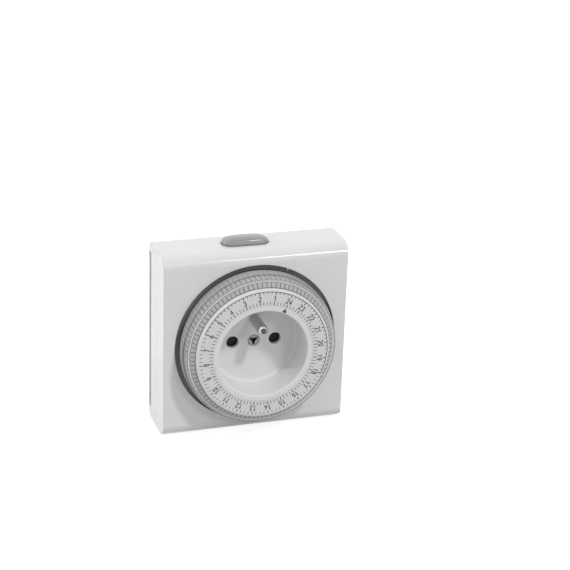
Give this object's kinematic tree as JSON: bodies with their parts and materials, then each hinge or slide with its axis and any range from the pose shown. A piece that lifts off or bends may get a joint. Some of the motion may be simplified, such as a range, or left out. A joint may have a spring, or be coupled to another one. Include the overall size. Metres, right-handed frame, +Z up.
{
  "type": "plug-in timer switch",
  "caption": "Mechanical plug-in timer: a square housing with a turning tappet dial around its socket well, a plug on the back and a push button on top.",
  "frame": {"origin": "middle of the flat base", "axes": "+X to the right seen from the front, +Y back towards the wall along the plug pins, +Z up"},
  "size_m": [0.0826, 0.071, 0.0866],
  "materials": {
    "housing_white": "glossy white moulded plastic",
    "dial_face": "satin white plastic, printed in dark grey",
    "drum_white": "white moulded plastic",
    "tappet_white": "white moulded plastic",
    "gear_white": "natural white plastic",
    "button_grey": "glossy mid grey plastic",
    "dark_plastic": "near black plastic",
    "plated_pin": "bright nickel plate",
    "steel": "plain steel",
    "brass": "bare brass",
    "copper": "bare copper alloy"
  },
  "bodies": {
    "housing": {"front_cover": "housing_white", "rear_cover": "housing_white", "socket_core": "housing_white", "switch_body": "dark_plastic", "earth_pin": "plated_pin", "live_plug_pin": "plated_pin", "neutral_plug_pin": "plated_pin", "side_earth_clips": "plated_pin", "core_screw": "steel", "shutter_spring": "steel", "reduction_arbor": "steel", "motor_can": "steel", "button_spring": "steel", "lever_pin": "steel", "lever_spring": "steel", "cover_screws": "steel", "fixed_contact": "brass", "contact_blade": "brass", "live_clip": "brass", "neutral_clip": "brass", "earth_link": "brass", "rear_earth_socket": "brass", "live_link": "copper", "neutral_link": "copper", "motor_leads": "copper"},
    "dial": {"dial_ring": "dial_face", "tappet_drum": "drum_white", "ring_gear": "gear_white"},
    "shutter": {"shutter": "dark_plastic"},
    "reduction_gear": {"reduction_gear": "gear_white"},
    "motor_pinion": {"motor_pinion": "brass"},
    "override_button": {"override_button": "button_grey"},
    "follower_lever": {"follower_lever": "button_grey"},
    "switch_plunger": {"switch_plunger": "gear_white"},
    "tappets_1": {"tappets_1": "tappet_white"},
    "tappets_2": {"tappets_2": "tappet_white"},
    "tappets_3": {"tappets_3": "tappet_white"},
    "tappets_4": {"tappets_4": "tappet_white"},
    "tappets_5": {"tappets_5": "tappet_white"},
    "tappets_6": {"tappets_6": "tappet_white"},
    "tappets_7": {"tappets_7": "tappet_white"},
    "tappets_8": {"tappets_8": "tappet_white"},
    "tappets_9": {"tappets_9": "tappet_white"},
    "tappets_10": {"tappets_10": "tappet_white"},
    "tappets_11": {"tappets_11": "tappet_white"},
    "tappets_12": {"tappets_12": "tappet_white"},
    "tappets_13": {"tappets_13": "tappet_white"},
    "tappets_14": {"tappets_14": "tappet_white"},
    "tappets_15": {"tappets_15": "tappet_white"},
    "tappets_16": {"tappets_16": "tappet_white"},
    "tappets_17": {"tappets_17": "tappet_white"},
    "tappets_18": {"tappets_18": "tappet_white"},
    "tappets_19": {"tappets_19": "tappet_white"},
    "tappets_20": {"tappets_20": "tappet_white"},
    "tappets_21": {"tappets_21": "tappet_white"},
    "tappets_22": {"tappets_22": "tappet_white"},
    "tappets_23": {"tappets_23": "tappet_white"},
    "tappets_24": {"tappets_24": "tappet_white"}
  },
  "joints": [
    {"name": "dial_turn", "type": "hinge", "parent": "housing", "child": "dial", "pos_m": [0, -0.0176, 0.0411], "axis": [0, 1, 0], "continuous": true},
    {"name": "reduction_spin", "type": "hinge", "parent": "housing", "child": "reduction_gear", "pos_m": [-0.02263, -0.0056, 0.01847], "axis": [0, 1, 0], "continuous": true},
    {"name": "motor_spin", "type": "hinge", "parent": "housing", "child": "motor_pinion", "pos_m": [-0.01753, -0.0046, 0.00964], "axis": [0, 1, 0], "continuous": true},
    {"name": "shutter_turn", "type": "hinge", "parent": "housing", "child": "shutter", "pos_m": [0, -0.0066, 0.0411], "axis": [0, 1, 0], "range_deg": [0, 38], "stiffness_Nm_per_rad": 0.002},
    {"name": "button_press", "type": "slide", "parent": "housing", "child": "override_button", "axis": [0, 0, -1], "range_m": [0, 0.002], "stiffness_N_per_m": 400, "deforming": ["button_spring"]},
    {"name": "lever_rock", "type": "hinge", "parent": "housing", "child": "follower_lever", "pos_m": [0.0145, -0.0044, 0.0751], "axis": [1, 0, 0], "range_deg": [0, 8], "stiffness_Nm_per_rad": 0.0005},
    {"name": "plunger_slide", "type": "slide", "parent": "housing", "child": "switch_plunger", "axis": [0, 0, 1], "range_m": [0, 0.00115]},
    {"name": "tappets_1_push", "type": "slide", "parent": "dial", "child": "tappets_1", "axis": [0, 1, 0], "range_m": [0, 0.0025]},
    {"name": "tappets_2_push", "type": "slide", "parent": "dial", "child": "tappets_2", "axis": [0, 1, 0], "range_m": [0, 0.0025]},
    {"name": "tappets_3_push", "type": "slide", "parent": "dial", "child": "tappets_3", "axis": [0, 1, 0], "range_m": [0, 0.0025]},
    {"name": "tappets_4_push", "type": "slide", "parent": "dial", "child": "tappets_4", "axis": [0, 1, 0], "range_m": [0, 0.0025]},
    {"name": "tappets_5_push", "type": "slide", "parent": "dial", "child": "tappets_5", "axis": [0, 1, 0], "range_m": [0, 0.0025]},
    {"name": "tappets_6_push", "type": "slide", "parent": "dial", "child": "tappets_6", "axis": [0, 1, 0], "range_m": [0, 0.0025]},
    {"name": "tappets_7_push", "type": "slide", "parent": "dial", "child": "tappets_7", "axis": [0, 1, 0], "range_m": [0, 0.0025]},
    {"name": "tappets_8_push", "type": "slide", "parent": "dial", "child": "tappets_8", "axis": [0, 1, 0], "range_m": [0, 0.0025]},
    {"name": "tappets_9_push", "type": "slide", "parent": "dial", "child": "tappets_9", "axis": [0, 1, 0], "range_m": [0, 0.0025]},
    {"name": "tappets_10_push", "type": "slide", "parent": "dial", "child": "tappets_10", "axis": [0, 1, 0], "range_m": [0, 0.0025]},
    {"name": "tappets_11_push", "type": "slide", "parent": "dial", "child": "tappets_11", "axis": [0, 1, 0], "range_m": [0, 0.0025]},
    {"name": "tappets_12_push", "type": "slide", "parent": "dial", "child": "tappets_12", "axis": [0, 1, 0], "range_m": [0, 0.0025]},
    {"name": "tappets_13_push", "type": "slide", "parent": "dial", "child": "tappets_13", "axis": [0, 1, 0], "range_m": [0, 0.0025]},
    {"name": "tappets_14_push", "type": "slide", "parent": "dial", "child": "tappets_14", "axis": [0, 1, 0], "range_m": [0, 0.0025]},
    {"name": "tappets_15_push", "type": "slide", "parent": "dial", "child": "tappets_15", "axis": [0, 1, 0], "range_m": [0, 0.0025]},
    {"name": "tappets_16_push", "type": "slide", "parent": "dial", "child": "tappets_16", "axis": [0, 1, 0], "range_m": [0, 0.0025]},
    {"name": "tappets_17_push", "type": "slide", "parent": "dial", "child": "tappets_17", "axis": [0, 1, 0], "range_m": [0, 0.0025]},
    {"name": "tappets_18_push", "type": "slide", "parent": "dial", "child": "tappets_18", "axis": [0, 1, 0], "range_m": [0, 0.0025]},
    {"name": "tappets_19_push", "type": "slide", "parent": "dial", "child": "tappets_19", "axis": [0, 1, 0], "range_m": [0, 0.0025]},
    {"name": "tappets_20_push", "type": "slide", "parent": "dial", "child": "tappets_20", "axis": [0, 1, 0], "range_m": [0, 0.0025]},
    {"name": "tappets_21_push", "type": "slide", "parent": "dial", "child": "tappets_21", "axis": [0, 1, 0], "range_m": [0, 0.0025]},
    {"name": "tappets_22_push", "type": "slide", "parent": "dial", "child": "tappets_22", "axis": [0, 1, 0], "range_m": [0, 0.0025]},
    {"name": "tappets_23_push", "type": "slide", "parent": "dial", "child": "tappets_23", "axis": [0, 1, 0], "range_m": [0, 0.0025]},
    {"name": "tappets_24_push", "type": "slide", "parent": "dial", "child": "tappets_24", "axis": [0, 1, 0], "range_m": [0, 0.0025]}
  ],
  "couplings": [
    {"joint": "reduction_spin", "follows": "dial_turn", "ratio": -5.4},
    {"joint": "motor_spin", "follows": "dial_turn", "ratio": 12.96},
    {"joint": "lever_rock", "follows": "plunger_slide", "rad_per_m": 120.5}
  ]
}
